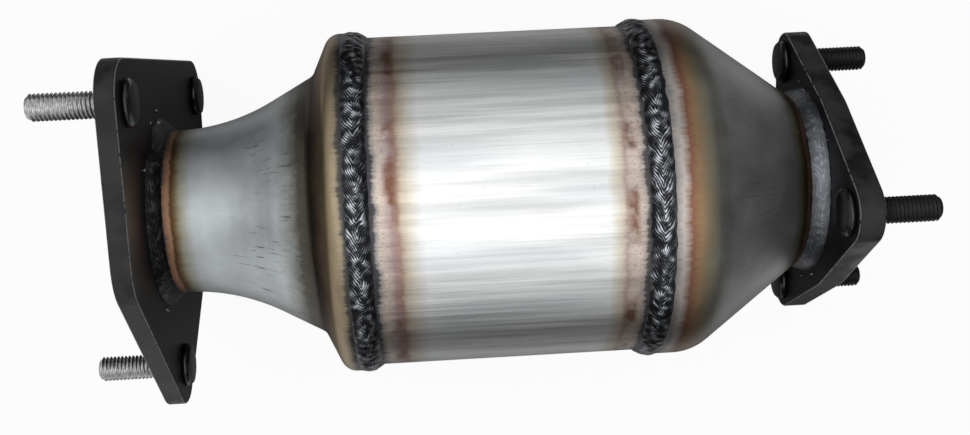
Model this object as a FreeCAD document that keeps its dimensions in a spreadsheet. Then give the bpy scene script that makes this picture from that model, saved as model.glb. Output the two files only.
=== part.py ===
import FreeCAD, Part
import math
import os
import Sketcher

# Exhaust catalytic converter: a round steel can with a pressed cone welded on each
# end and a three-stud flange plate welded on each neck.
# Both necks end flush with their sealing faces.
# Frame: origin at the centre of the inlet port on the inlet flange's sealing face,
# +X along the can towards the outlet, +Y towards the inlet flange's straight edge,
# +Z completing the right-handed set. Millimetres.

UP = FreeCAD.Vector(0, 0, 1)

doc = FreeCAD.newDocument("catalytic_converter")
sheet = doc.addObject("Spreadsheet::Sheet", "Sizes")

# Driving dimensions: alias, value, meaning.
DRIVING = [
    ("brick_od", 118.4, "ceramic brick diameter"),
    ("brick_length", 100.0, "ceramic brick length"),
    ("mat_thickness", 4.0, "support mat thickness between brick and can"),
    ("mat_margin", 5.0, "brick past the support mat at each end"),
    ("can_wall", 1.5, "sheet thickness of the can"),
    ("can_start", 80.2, "inlet end of the can"),
    ("can_margin", 9.5, "can beyond the brick at each end"),
    ("slip_gap", 0.05, "radial gap between can and cone collar"),
    ("cone_wall", 2.0, "sheet thickness of both cones"),
    ("neck_od", 64.0, "outside diameter of both necks"),
    ("collar_lap", 4.8, "cone collar over the can's end"),
    ("inlet_bend_x", 34.0, "inlet cone: corner between neck and flare"),
    ("inlet_neck_bend", 80.0, "inlet cone: outside radius of the neck bend"),
    ("inlet_step_run", 11.4, "inlet cone: corner between flare and step, to the can"),
    ("inlet_step_drop", 15.7, "inlet cone: that corner below the collar"),
    ("inlet_step_bend", 5.0, "inlet cone: bend at the foot of the step"),
    ("inlet_shoulder_run", 4.0, "inlet cone: corner between step and collar, to the can"),
    ("inlet_shoulder_bend", 6.0, "inlet cone: outside radius of the shoulder"),
    ("outlet_shoulder_run", 12.0, "outlet cone: can's end to the collar and taper corner"),
    ("outlet_shoulder_bend", 20.0, "outlet cone: outside radius of the shoulder"),
    ("outlet_neck_run", 3.2, "outlet cone: taper and neck corner to the plate"),
    ("outlet_neck_bend", 9.0, "outlet cone: outside radius of the neck bend"),
    ("port_gap", 0.1, "radial gap between neck and flange port"),
    ("inlet_plate", 7.5, "inlet flange thickness"),
    ("inlet_circle", 145.5, "inlet stud circle diameter"),
    ("inlet_shift", 8.0, "inlet stud circle centre from the port, along the flange"),
    ("inlet_side", 11.9, "inlet stud circle centre from the port, across the flange"),
    ("inlet_turn", 6.0, "inlet flange turned about +X, degrees"),
    ("inlet_corner", 16.0, "inlet flange corner radius about each stud"),
    ("inlet_hip_along", 19.4, "inlet flange hip centre behind the circle centre"),
    ("inlet_hip_across", 56.2, "inlet flange hip centre from the middle line"),
    ("inlet_hip_bend", 20.0, "inlet flange hip radius"),
    ("outlet_cone_run", 72.8, "can's outlet end to the outlet sealing face"),
    ("outlet_plate", 9.6, "outlet flange thickness"),
    ("outlet_circle", 108.5, "outlet stud circle diameter"),
    ("outlet_set_back", 1.7, "outlet stud circle centre behind the port, along the flange"),
    ("outlet_side", 1.8, "outlet stud circle centre from the port, across the flange"),
    ("outlet_turn", -78.4, "outlet flange turned about +X, degrees"),
    ("outlet_corner", 12.0, "outlet flange corner radius about each stud"),
    ("outlet_hip_along", 7.0, "outlet flange hip centre behind the circle centre"),
    ("outlet_hip_across", 10.3, "outlet flange hip centre from the middle line"),
    ("outlet_hip_bend", 30.0, "outlet flange hip radius"),
    ("plate_edge", 0.8, "rounding of the flange arrises"),
    ("stud_thread", 10.0, "stud thread diameter, M10"),
    ("stud_point", 1.2, "chamfer at the stud's tip"),
    ("shank_od", 10.5, "pressed shank of the stud, and its hole"),
    ("head_od", 17.5, "stud head diameter"),
    ("head_height", 3.0, "stud head height"),
    ("head_bevel", 1.2, "stud head bevel"),
    ("inlet_reach", 27.0, "inlet stud reach past the sealing face"),
    ("outlet_reach", 23.8, "outlet stud reach past the sealing face"),
    ("bead_on_can", 5.4, "collar weld: width on the can"),
    ("bead_on_collar", 3.4, "collar weld: width on the collar"),
    ("bead_crown", 6.8, "collar weld: radius of the crown"),
    ("throat_along", 4.8, "neck weld: leg along the neck, inlet"),
    ("outlet_throat_along", 6.4, "neck weld: leg along the neck, outlet"),
    ("throat_across", 5.0, "neck weld: leg across the flange face"),
    ("seam_width", 4.0, "lengthwise can seam: width"),
    ("seam_height", 0.4, "lengthwise can seam: height"),
]

# Sizes that follow from the driving ones.
DERIVED = [
    ("can_length", "brick_length + 2 * can_margin"),
    ("can_end", "can_start + can_length"),
    ("brick_radius", "brick_od / 2"),
    ("can_inner", "brick_radius + mat_thickness"),
    ("can_outer", "can_inner + can_wall"),
    ("collar_inner", "can_outer + slip_gap"),
    ("collar_outer", "collar_inner + cone_wall"),
    ("mat_length", "brick_length - 2 * mat_margin"),
    ("inlet_step_x", "can_start - inlet_step_run"),
    ("inlet_step_r", "collar_outer - inlet_step_drop"),
    ("inlet_shoulder_x", "can_start - inlet_shoulder_run"),
    ("inlet_collar_end", "can_start + collar_lap"),
    ("outlet_collar_end", "can_end - collar_lap"),
    ("outlet_shoulder_x", "can_end + outlet_shoulder_run"),
    ("outlet_face", "can_end + outlet_cone_run"),
    ("neck_outer", "neck_od / 2"),
    ("neck_inner", "neck_od / 2 - cone_wall"),
    ("port_radius", "neck_od / 2 + port_gap"),
    ("outlet_back", "outlet_face - outlet_plate"),
    ("outlet_bend_x", "outlet_back - outlet_neck_run"),
    ("inlet_apex", "inlet_shift - inlet_circle / 2"),
    ("inlet_base", "inlet_shift + inlet_circle / 4"),
    ("inlet_near", "inlet_circle * sqrt(3) / 4 - inlet_side"),
    ("inlet_far", "-inlet_circle * sqrt(3) / 4 - inlet_side"),
    ("inlet_middle", "-inlet_side"),
    ("inlet_hip_x", "inlet_shift - inlet_hip_along"),
    ("inlet_hip_near", "inlet_hip_across - inlet_side"),
    ("inlet_hip_far", "-inlet_hip_across - inlet_side"),
    ("outlet_apex", "-outlet_set_back - outlet_circle / 2"),
    ("outlet_base", "outlet_circle / 4 - outlet_set_back"),
    ("outlet_near", "outlet_circle * sqrt(3) / 4 - outlet_side"),
    ("outlet_far", "-outlet_circle * sqrt(3) / 4 - outlet_side"),
    ("outlet_middle", "-outlet_side"),
    ("outlet_hip_x", "-outlet_set_back - outlet_hip_along"),
    ("outlet_hip_near", "outlet_hip_across - outlet_side"),
    ("outlet_hip_far", "-outlet_hip_across - outlet_side"),
    ("shank_radius", "shank_od / 2"),
    ("thread_radius", "stud_thread / 2"),
    ("head_radius", "head_od / 2"),
    ("head_top", "head_od / 2 - head_bevel"),
    ("point_radius", "stud_thread / 2 - stud_point"),
    ("inlet_shank_end", "head_height + inlet_plate"),
    ("inlet_stud_end", "head_height + inlet_plate + inlet_reach"),
    ("inlet_point_start", "inlet_stud_end - stud_point"),
    ("outlet_shank_end", "head_height + outlet_plate"),
    ("outlet_stud_end", "head_height + outlet_plate + outlet_reach"),
    ("outlet_point_start", "outlet_stud_end - stud_point"),
    ("inlet_bead_can", "inlet_collar_end + bead_on_can"),
    ("inlet_bead_collar", "inlet_collar_end - bead_on_collar"),
    ("outlet_bead_can", "outlet_collar_end - bead_on_can"),
    ("outlet_bead_collar", "outlet_collar_end + bead_on_collar"),
    ("inlet_throat_end", "inlet_plate + throat_along"),
    ("outlet_throat_start", "outlet_back - outlet_throat_along"),
    ("outlet_taper", "(collar_outer - neck_outer) / (outlet_bend_x - outlet_shoulder_x)"),
    ("outlet_toe_radius", "neck_outer + (outlet_bend_x - outlet_throat_start) * outlet_taper"),
    ("throat_radius", "neck_outer + throat_across"),
    ("brick_start", "can_start + can_margin"),
    ("brick_end", "brick_start + brick_length"),
    ("mat_start", "can_start + (can_length - mat_length) / 2"),
    ("mat_end", "mat_start + mat_length"),
]

row = 0
for alias, value, meaning in DRIVING:
    row += 1
    sheet.set(f"A{row}", meaning)
    sheet.set(f"B{row}", str(value))
    sheet.setAlias(f"B{row}", alias)
for alias, formula in DERIVED:
    row += 1
    sheet.set(f"A{row}", "derived")
    sheet.set(f"B{row}", "=" + formula)
    sheet.setAlias(f"B{row}", alias)
doc.recompute()


def size(alias):
    """Value of one cell of the sheet."""
    return float(getattr(sheet, alias))


def origin_item(body, role):
    return next(o for o in body.Origin.OriginFeatures if o.Role == role)


def new_body(label):
    body = doc.addObject("PartDesign::Body", label)
    body.Label = label
    return body


def new_sketch(body, name, role):
    sketch = body.newObject("Sketcher::SketchObject", name)
    sketch.AttachmentSupport = [(origin_item(body, role), "")]
    sketch.MapMode = "FlatFace"
    return sketch


def bind(sketch, kind, alias, *where):
    """Add a dimension to the sketch and tie it to a cell."""
    index = sketch.addConstraint(Sketcher.Constraint(kind, *where, size(alias)))
    sketch.setExpression(f"Constraints[{index}]", f"Sizes.{alias}")


def add_chain(sketch, points):
    """Closed chain of lines through numeric points; returns the first line's index."""
    first = sketch.GeometryCount
    count = len(points)
    for i, (x, y) in enumerate(points):
        end = points[(i + 1) % count]
        line = Part.LineSegment(FreeCAD.Vector(x, y, 0), FreeCAD.Vector(end[0], end[1], 0))
        sketch.addGeometry(line, False)
    for i in range(count):
        following = first + (i + 1) % count
        sketch.addConstraint(Sketcher.Constraint("Coincident", first + i, 2, following, 1))
    return first


def bound_polygon(sketch, corners):
    """Closed polygon whose every corner is placed by two cells (None is zero)."""
    points = [tuple(size(a) if a else 0.0 for a in corner) for corner in corners]
    first = add_chain(sketch, points)
    for i, (along, up) in enumerate(corners):
        if along:
            bind(sketch, "DistanceX", along, -1, 1, first + i, 1)
        else:
            sketch.addConstraint(Sketcher.Constraint("PointOnObject", first + i, 1, -2))
        if up:
            bind(sketch, "DistanceY", up, -1, 1, first + i, 1)
        else:
            sketch.addConstraint(Sketcher.Constraint("PointOnObject", first + i, 1, -1))


def revolve(body, sketch):
    """Full turn of the sketch about the body's X axis."""
    turned = body.newObject("PartDesign::Revolution", sketch.Name + "_turned")
    turned.Profile = sketch
    turned.ReferenceAxis = (origin_item(body, "X_Axis"), [""])
    turned.Angle = 360.0
    doc.recompute()
    return turned


def round_rings(body, base, rings):
    """Fillet ring-shaped edges; rings lists (x, radius, formula of the fillet)."""
    for x, radius, formula in rings:
        names = []
        for i, edge in enumerate(base.Shape.Edges):
            curve = edge.Curve
            if not isinstance(curve, Part.Circle):
                continue
            near = abs(curve.Center.x - x) < 0.05 and abs(curve.Radius - radius) < 0.05
            if near:
                names.append(f"Edge{i + 1}")
        fillet = body.newObject("PartDesign::Fillet", f"{body.Name}_bend")
        fillet.Base = (base, names)
        fillet.setExpression("Radius", formula)
        doc.recompute()
        base = fillet
    return base


def offset_corner(before, corner, after, gap):
    """Corner of the same chain moved inwards (to its right-hand side) by gap."""
    def unit(a, b):
        length = math.hypot(b[0] - a[0], b[1] - a[1])
        return (b[0] - a[0]) / length, (b[1] - a[1]) / length
    d1, d2 = unit(before, corner), unit(corner, after)
    n1, n2 = (d1[1], -d1[0]), (d2[1], -d2[0])
    scale = gap / (1 + n1[0] * n2[0] + n1[1] * n2[1])
    return corner[0] + scale * (n1[0] + n2[0]), corner[1] + scale * (n1[1] + n2[1])


def make_cone(label, corners, bends):
    """Pressed cone of even thickness: outer corners by cell, inner face held parallel."""
    body = new_body(label)
    sketch = new_sketch(body, label + "_profile", "XY_Plane")
    outer = [(size(a) if a else 0.0, size(b)) for a, b in corners]
    wall = size("cone_wall")
    # Inner chain, from the last corner back to the first.
    inner = [(outer[-1][0], outer[-1][1] - wall)]
    for i in range(len(outer) - 2, 0, -1):
        inner.append(offset_corner(outer[i - 1], outer[i], outer[i + 1], wall))
    inner.append((outer[0][0], outer[0][1] - wall))
    first = add_chain(sketch, outer + inner)
    for i, (along, up) in enumerate(corners):
        if along:
            bind(sketch, "DistanceX", along, -1, 1, first + i, 1)
        else:
            sketch.addConstraint(Sketcher.Constraint("PointOnObject", first + i, 1, -2))
        bind(sketch, "DistanceY", up, -1, 1, first + i, 1)
    count = len(outer)
    # Both end faces are square to the axis.
    sketch.addConstraint(Sketcher.Constraint("Vertical", first + count - 1))
    sketch.addConstraint(Sketcher.Constraint("Vertical", first + 2 * count - 1))
    for i in range(count - 1):
        inside = first + 2 * count - 2 - i
        sketch.addConstraint(Sketcher.Constraint("Parallel", first + i, inside))
        bind(sketch, "Distance", "cone_wall", inside, 1, first + i)
    base = revolve(body, sketch)
    rings = []
    for i, (alias, bulges) in enumerate(bends, start=1):
        inner_point = inner[count - 1 - i]
        sign = "-" if bulges else "+"
        rings.append((outer[i][0], outer[i][1], f"Sizes.{alias}"))
        rings.append((inner_point[0], inner_point[1], f"Sizes.{alias} {sign} Sizes.cone_wall"))
    round_rings(body, base, rings)
    return body


def tangent_outline(sketch, circles):
    """Outline that wraps a ring of circles given anticlockwise by cells.

    Each entry is (along, across, radius)."""
    data = [(size(a), size(b), size(c)) for a, b, c in circles]
    count = len(data)
    touch = []
    for i in range(count):
        x1, y1, r1 = data[i]
        x2, y2, r2 = data[(i + 1) % count]
        length = math.hypot(x2 - x1, y2 - y1)
        # Direction from each centre to the shared tangent on the run's right-hand side.
        touch.append(math.atan2(y2 - y1, x2 - x1) - math.acos((r1 - r2) / length))
    arcs = []
    for i, (x, y, r) in enumerate(data):
        start, end = touch[i - 1], touch[i]
        while end < start:
            end += 2 * math.pi
        circle = Part.Circle(FreeCAD.Vector(x, y, 0), UP, r)
        arcs.append(sketch.addGeometry(Part.ArcOfCircle(circle, start, end), False))
    lines = []
    for i in range(count):
        x1, y1, r1 = data[i]
        x2, y2, r2 = data[(i + 1) % count]
        c, s = math.cos(touch[i]), math.sin(touch[i])
        a = FreeCAD.Vector(x1 + r1 * c, y1 + r1 * s, 0)
        b = FreeCAD.Vector(x2 + r2 * c, y2 + r2 * s, 0)
        lines.append(sketch.addGeometry(Part.LineSegment(a, b), False))
    for i, (along, across, radius) in enumerate(circles):
        bind(sketch, "DistanceX", along, -1, 1, arcs[i], 3)
        bind(sketch, "DistanceY", across, -1, 1, arcs[i], 3)
        bind(sketch, "Radius", radius, arcs[i])
    for i in range(count):
        after = (i + 1) % count
        sketch.addConstraint(Sketcher.Constraint("Tangent", arcs[i], 2, lines[i], 1))
        sketch.addConstraint(Sketcher.Constraint("Tangent", lines[i], 2, arcs[after], 1))


def make_flange(label, thickness, circles, studs, start, turn):
    """Flange plate: outline, port through the middle, one hole for each stud."""
    body = new_body(label)
    outline = new_sketch(body, label + "_outline", "YZ_Plane")
    tangent_outline(outline, circles)
    plate = body.newObject("PartDesign::Pad", label + "_plate")
    plate.Profile = outline
    plate.setExpression("Length", f"Sizes.{thickness}")
    doc.recompute()
    full = plate.Shape.Volume

    port = new_sketch(body, label + "_port", "YZ_Plane")
    port.addGeometry(Part.Circle(FreeCAD.Vector(), UP, size("port_radius")), False)
    port.addConstraint(Sketcher.Constraint("Coincident", 0, 3, -1, 1))
    bind(port, "Radius", "port_radius", 0)
    opening = body.newObject("PartDesign::Pocket", label + "_opening")
    opening.Profile = port
    opening.Type = "ThroughAll"
    opening.Reversed = True
    doc.recompute()
    expected = full - math.pi * size("port_radius") ** 2 * size(thickness)
    assert abs(opening.Shape.Volume - expected) < 1.0, "the port isn't cut"

    holes = new_sketch(body, label + "_stud_holes", "YZ_Plane")
    for i, (along, across) in enumerate(studs):
        centre = FreeCAD.Vector(size(along), size(across), 0)
        holes.addGeometry(Part.Circle(centre, UP, size("shank_radius")), False)
        bind(holes, "DistanceX", along, -1, 1, i, 3)
        bind(holes, "DistanceY", across, -1, 1, i, 3)
        bind(holes, "Radius", "shank_radius", i)
    drilled = body.newObject("PartDesign::Pocket", label + "_drilled")
    drilled.Profile = holes
    drilled.Type = "ThroughAll"
    drilled.Reversed = True
    doc.recompute()
    expected -= 3 * math.pi * size("shank_radius") ** 2 * size(thickness)
    assert abs(drilled.Shape.Volume - expected) < 1.0, "the stud holes aren't cut"

    # Round both arrises of the outer edge: the longest loop of each flat face.
    names = []
    for face in drilled.Shape.Faces:
        if isinstance(face.Surface, Part.Plane) and abs(face.normalAt(0, 0).x) > 0.99:
            for edge in face.OuterWire.Edges:
                for i, other in enumerate(drilled.Shape.Edges):
                    if other.isSame(edge):
                        names.append(f"Edge{i + 1}")
    eased = body.newObject("PartDesign::Fillet", label + "_eased")
    eased.Base = (drilled, names)
    eased.Radius = size("plate_edge")
    eased.setExpression("Radius", "Sizes.plate_edge")
    axis = FreeCAD.Vector(1, 0, 0)
    body.Placement = FreeCAD.Placement(
        FreeCAD.Vector(start, 0, 0), FreeCAD.Rotation(axis, size(turn)))
    doc.recompute()
    return body


def make_stud(label, shank_end, point_start, stud_end):
    """Headed stud, head top at its own origin and thread along its own +X."""
    body = new_body(label)
    sketch = new_sketch(body, label + "_profile", "XY_Plane")
    bound_polygon(sketch, [
        (None, None), (None, "head_top"), ("head_bevel", "head_radius"),
        ("head_height", "head_radius"), ("head_height", "shank_radius"),
        (shank_end, "shank_radius"), (shank_end, "thread_radius"),
        (point_start, "thread_radius"), (stud_end, "point_radius"), (stud_end, None)])
    revolve(body, sketch)
    return body


def place_stud(body, flange_turn, along, across, head_x, outward):
    """Put the stud's head against the flange's inner face, thread pointing outward."""
    turn = FreeCAD.Rotation(FreeCAD.Vector(1, 0, 0), size(flange_turn))
    spot = turn.multVec(FreeCAD.Vector(0, size(along), size(across)))
    spot.x = head_x
    facing = FreeCAD.Rotation(FreeCAD.Vector(0, 0, 1), 0 if outward > 0 else 180)
    body.Placement = FreeCAD.Placement(spot, facing)
    doc.recompute()


def make_ring(label, start, end, inside, outside):
    body = new_body(label)
    sketch = new_sketch(body, label + "_profile", "XY_Plane")
    bound_polygon(sketch, [(start, inside), (start, outside), (end, outside), (end, inside)])
    revolve(body, sketch)
    return body


# --- The can, its seam, and the brick and mat inside it ---
make_ring("can_shell", "can_start", "can_end", "can_inner", "can_outer")
make_ring("support_mat", "mat_start", "mat_end", "brick_radius", "can_inner")

brick = new_body("ceramic_brick")
brick_sketch = new_sketch(brick, "ceramic_brick_profile", "XY_Plane")
bound_polygon(brick_sketch, [
    ("brick_start", None), ("brick_start", "brick_radius"),
    ("brick_end", "brick_radius"), ("brick_end", None)])
revolve(brick, brick_sketch)

# The seam is a low weld bead along the underside, between the two collar welds.
seam_tool = doc.addObject("Part::Cylinder", "seam_tool")
seam_tool.setExpression("Radius", "Sizes.can_outer")
seam_tool.setExpression("Height", "Sizes.can_length")
seam_tool.Placement = FreeCAD.Placement(
    FreeCAD.Vector(size("can_start"), 0, 0), FreeCAD.Rotation(FreeCAD.Vector(0, 1, 0), 90))
seam_blank = doc.addObject("Part::Box", "seam_blank")
seam_blank.setExpression("Length", "Sizes.outlet_bead_can - Sizes.inlet_bead_can")
seam_blank.setExpression("Width", "Sizes.seam_width")
seam_blank.setExpression("Height", "Sizes.seam_height + 1")
seam_blank.Placement.Base = FreeCAD.Vector(
    size("inlet_bead_can"), -size("seam_width") / 2, -size("can_outer") - size("seam_height"))
seam = doc.addObject("Part::Cut", "can_seam_weld")
seam.Label = "can_seam_weld"
seam.Base = seam_blank
seam.Tool = seam_tool
doc.recompute()

# --- Cones ---
inlet_cone = make_cone(
    "inlet_cone",
    [(None, "neck_outer"), ("inlet_bend_x", "neck_outer"),
     ("inlet_step_x", "inlet_step_r"), ("inlet_shoulder_x", "collar_outer"),
     ("inlet_collar_end", "collar_outer")],
    [("inlet_neck_bend", False), ("inlet_step_bend", False), ("inlet_shoulder_bend", True)])
outlet_cone = make_cone(
    "outlet_cone",
    [("outlet_collar_end", "collar_outer"), ("outlet_shoulder_x", "collar_outer"),
     ("outlet_bend_x", "neck_outer"), ("outlet_face", "neck_outer")],
    [("outlet_shoulder_bend", True), ("outlet_neck_bend", False)])


# --- Welds ---
def make_collar_weld(label, collar_end, on_can, on_collar):
    """Round-crowned bead between the collar's edge and the can."""
    body = new_body(label)
    sketch = new_sketch(body, label + "_profile", "XY_Plane")
    corners = [(on_can, "can_outer"), (collar_end, "can_outer"),
               (collar_end, "collar_outer"), (on_collar, "collar_outer")]
    points = [(size(a), size(b)) for a, b in corners]
    for i in range(3):
        a, b = points[i], points[i + 1]
        sketch.addGeometry(Part.LineSegment(FreeCAD.Vector(a[0], a[1], 0),
                                            FreeCAD.Vector(b[0], b[1], 0)), False)
    for i, (along, up) in enumerate(corners):
        line, end = (i, 1) if i < 3 else (2, 2)
        bind(sketch, "DistanceX", along, -1, 1, line, end)
        bind(sketch, "DistanceY", up, -1, 1, line, end)
    for i in range(2):
        sketch.addConstraint(Sketcher.Constraint("Coincident", i, 2, i + 1, 1))
    (x1, y1), (x2, y2) = points[0], points[3]
    radius = size("bead_crown")
    half = math.hypot(x2 - x1, y2 - y1) / 2
    rise = radius - math.sqrt(radius ** 2 - half ** 2)
    side = 1 if x2 < x1 else -1
    middle = FreeCAD.Vector((x1 + x2) / 2 + side * rise * (y2 - y1) / half / 2,
                            (y1 + y2) / 2 + side * rise * (x1 - x2) / half / 2, 0)
    crown = Part.Arc(FreeCAD.Vector(x1, y1, 0), middle, FreeCAD.Vector(x2, y2, 0))
    arc = sketch.addGeometry(crown, False)
    ends = {}
    for position in (1, 2):
        point = sketch.getPoint(arc, position)
        ends[position] = abs(point.x - x1) < 0.01
    start = 1 if ends[1] else 2
    sketch.addConstraint(Sketcher.Constraint("Coincident", 0, 1, arc, start))
    sketch.addConstraint(Sketcher.Constraint("Coincident", 2, 2, arc, 3 - start))
    bind(sketch, "Radius", "bead_crown", arc)
    revolve(body, sketch)
    return body


make_collar_weld("inlet_collar_weld", "inlet_collar_end", "inlet_bead_can",
                 "inlet_bead_collar")
make_collar_weld("outlet_collar_weld", "outlet_collar_end", "outlet_bead_can",
                 "outlet_bead_collar")


def make_neck_weld(label, corners, cone):
    """Fillet weld in the corner between neck and flange, cut back to the cone."""
    blank = new_body(label + "_blank")
    sketch = new_sketch(blank, label + "_profile", "XY_Plane")
    bound_polygon(sketch, corners)
    revolve(blank, sketch)
    weld = doc.addObject("Part::Cut", label)
    weld.Label = label
    weld.Base = blank
    weld.Tool = cone
    doc.recompute()
    return weld


make_neck_weld(
    "inlet_neck_weld",
    [("inlet_plate", "neck_outer"), ("inlet_plate", "throat_radius"),
     ("inlet_throat_end", "neck_outer")],
    inlet_cone)
make_neck_weld(
    "outlet_neck_weld",
    [("outlet_back", "neck_outer"), ("outlet_back", "throat_radius"),
     ("outlet_throat_start", "outlet_toe_radius"), ("outlet_bend_x", "neck_outer")],
    outlet_cone)

# --- Flanges: circles run anticlockwise round each outline ---
INLET_STUDS = [("inlet_base", "inlet_near"), ("inlet_base", "inlet_far"),
               ("inlet_apex", "inlet_middle")]
OUTLET_STUDS = [("outlet_base", "outlet_near"), ("outlet_base", "outlet_far"),
                ("outlet_apex", "outlet_middle")]
make_flange(
    "inlet_flange", "inlet_plate",
    [("inlet_base", "inlet_near", "inlet_corner"),
     ("inlet_hip_x", "inlet_hip_near", "inlet_hip_bend"),
     ("inlet_apex", "inlet_middle", "inlet_corner"),
     ("inlet_hip_x", "inlet_hip_far", "inlet_hip_bend"),
     ("inlet_base", "inlet_far", "inlet_corner")],
    INLET_STUDS, 0.0, "inlet_turn")
make_flange(
    "outlet_flange", "outlet_plate",
    [("outlet_base", "outlet_near", "outlet_corner"),
     ("outlet_hip_x", "outlet_hip_near", "outlet_hip_bend"),
     ("outlet_apex", "outlet_middle", "outlet_corner"),
     ("outlet_hip_x", "outlet_hip_far", "outlet_hip_bend"),
     ("outlet_base", "outlet_far", "outlet_corner")],
    OUTLET_STUDS, size("outlet_back"), "outlet_turn")

# --- Studs: heads on the inner faces, threads outwards ---
for number, (along, across) in enumerate(INLET_STUDS, start=1):
    stud = make_stud(f"inlet_stud_{number}", "inlet_shank_end", "inlet_point_start",
                     "inlet_stud_end")
    place_stud(stud, "inlet_turn", along, across,
               size("inlet_plate") + size("head_height"), -1)
for number, (along, across) in enumerate(OUTLET_STUDS, start=1):
    stud = make_stud(f"outlet_stud_{number}", "outlet_shank_end", "outlet_point_start",
                     "outlet_stud_end")
    place_stud(stud, "outlet_turn", along, across,
               size("outlet_back") - size("head_height"), 1)

# --- Check everything, then write one file for each sub-part ---
NODES = (["can_shell", "can_seam_weld", "ceramic_brick", "support_mat", "inlet_cone",
          "outlet_cone", "inlet_collar_weld", "outlet_collar_weld", "inlet_neck_weld",
          "outlet_neck_weld", "inlet_flange", "outlet_flange"]
         + [f"inlet_stud_{i}" for i in (1, 2, 3)]
         + [f"outlet_stud_{i}" for i in (1, 2, 3)])
doc.recompute()
for item in doc.Objects:
    bad = [state for state in item.State if state in ("Invalid", "Error")]
    if bad:
        raise RuntimeError(f"{item.Label} didn't recompute: {bad}")
shapes = {}
for node in NODES:
    found = doc.getObjectsByLabel(node)
    shape = found[0].Shape
    if shape.isNull() or not shape.isValid() or len(shape.Solids) != 1:
        raise RuntimeError(f"{node} isn't one valid solid")
    shapes[node] = shape
os.makedirs("parts", exist_ok=True)
for node, shape in shapes.items():
    shape.exportStep(f"parts/{node}.step")
    box = shape.optimalBoundingBox()
    print(f"{node}: {shape.Volume:.0f} mm3, x {box.XMin:.1f}..{box.XMax:.1f}, "
          f"y {box.YMin:.1f}..{box.YMax:.1f}, z {box.ZMin:.1f}..{box.ZMax:.1f}")
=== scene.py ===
from collections import namedtuple
import math
import random

import bmesh
import bpy
from mathutils import Matrix, Vector, noise


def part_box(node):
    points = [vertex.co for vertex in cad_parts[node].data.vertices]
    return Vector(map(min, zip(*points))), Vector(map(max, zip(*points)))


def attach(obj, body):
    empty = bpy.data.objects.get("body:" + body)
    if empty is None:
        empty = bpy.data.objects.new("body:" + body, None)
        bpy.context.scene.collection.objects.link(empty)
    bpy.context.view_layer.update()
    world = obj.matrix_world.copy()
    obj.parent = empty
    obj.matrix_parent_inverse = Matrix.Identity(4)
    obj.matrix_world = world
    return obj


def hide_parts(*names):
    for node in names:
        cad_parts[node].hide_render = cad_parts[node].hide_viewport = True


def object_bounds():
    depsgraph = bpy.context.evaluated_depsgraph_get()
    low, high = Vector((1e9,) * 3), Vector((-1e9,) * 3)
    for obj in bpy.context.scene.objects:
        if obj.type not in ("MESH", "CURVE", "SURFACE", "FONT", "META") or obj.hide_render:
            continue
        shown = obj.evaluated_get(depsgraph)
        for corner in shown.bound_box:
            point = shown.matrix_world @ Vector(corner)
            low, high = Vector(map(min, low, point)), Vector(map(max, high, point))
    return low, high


bl_info = {
    "name": "Catalytic converter looks",
    "version": (1, 0, 0),
    "blender": (4, 5, 0),
    "location": "View3D > Sidebar > Converter",
    "description": "Weld beads, threads, heat tints and finishes for a round catalytic converter",
    "category": "Object",
}

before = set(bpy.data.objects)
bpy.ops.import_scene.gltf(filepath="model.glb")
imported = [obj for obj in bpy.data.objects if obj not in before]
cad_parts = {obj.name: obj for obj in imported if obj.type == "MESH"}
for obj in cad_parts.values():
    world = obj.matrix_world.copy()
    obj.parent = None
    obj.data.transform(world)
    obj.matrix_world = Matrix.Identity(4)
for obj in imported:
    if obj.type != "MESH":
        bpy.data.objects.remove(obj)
CAD_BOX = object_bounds()
MM = 0.001
FULL_TURN = 2 * math.pi
QUARTER_TURN = math.pi / 2
# Points nearer than these count as one: after a closed spin, and elsewhere.
SPIN_MERGE = 1e-7
NEAR = 1e-6


def span(node):
    """Lowest and highest x of a CAD node."""
    low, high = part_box(node)
    return low.x, high.x


# --- Places that the looks share, read from the solids ---
CAN_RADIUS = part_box("can_shell")[1].z
COLLAR_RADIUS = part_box("inlet_cone")[1].z
INLET_BEAD = span("inlet_collar_weld")
OUTLET_BEAD = span("outlet_collar_weld")
INLET_NECK_WELD = span("inlet_neck_weld")
OUTLET_NECK_WELD = span("outlet_neck_weld")
NECK_WELD_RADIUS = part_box("inlet_neck_weld")[1].z
INLET_PLATE = span("inlet_flange")
OUTLET_PLATE = span("outlet_flange")
FLOOR = CAD_BOX[0].z
NECK_RADIUS = 32 * MM

# --- Welds: how finely a bead is meshed and how unevenly it was laid by hand ---
# A skin is three shares of the weld steel's colour, from painted shade in troughs to painted
# highlights on ridges.
BEAD_COLUMNS = 30
STEPS_PER_RIPPLE = 5
WOBBLES_PER_TURN = 40
LUMPS_PER_METRE = 420
FRAYS_PER_TURN = 90
FRAY = 0.5 * MM
COLLAR_SLANT = 4.8
COLLAR_SINK = 0.1 * MM
COLLAR_SHADED_SKIN = (0.05, 0.45, 2.3)
NECK_CROWN = 0.5 * MM
NECK_RIPPLE_HEIGHT = 0.10 * MM
NECK_SLANT = 2.0
NECK_SINK = 0.3 * MM
INLET_NECK_SHADED_SKIN = (0.05, 0.12, 0.32)
OUTLET_NECK_SHADED_SKIN = (0.5, 0.66, 0.9)
# The outlet neck weld ends on the cone's taper, which stands this far above the neck.
TAPER_RISE = 2.2 * MM

# --- Lengthwise seam under the can ---
SEAM_SIZE = (240, 8)
SEAM_RIPPLE_PITCH = 1.6 * MM
SEAM_CROWN = 0.22 * MM
SEAM_RIPPLE_HEIGHT = 0.13 * MM
SEAM_SLANT = 0.6
SEAM_SINK = 0.02 * MM
SEAM_ROOT = 0.25 * MM
SEAM_SHADED_SKIN = (0.3, 0.9, 2.1)

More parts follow.
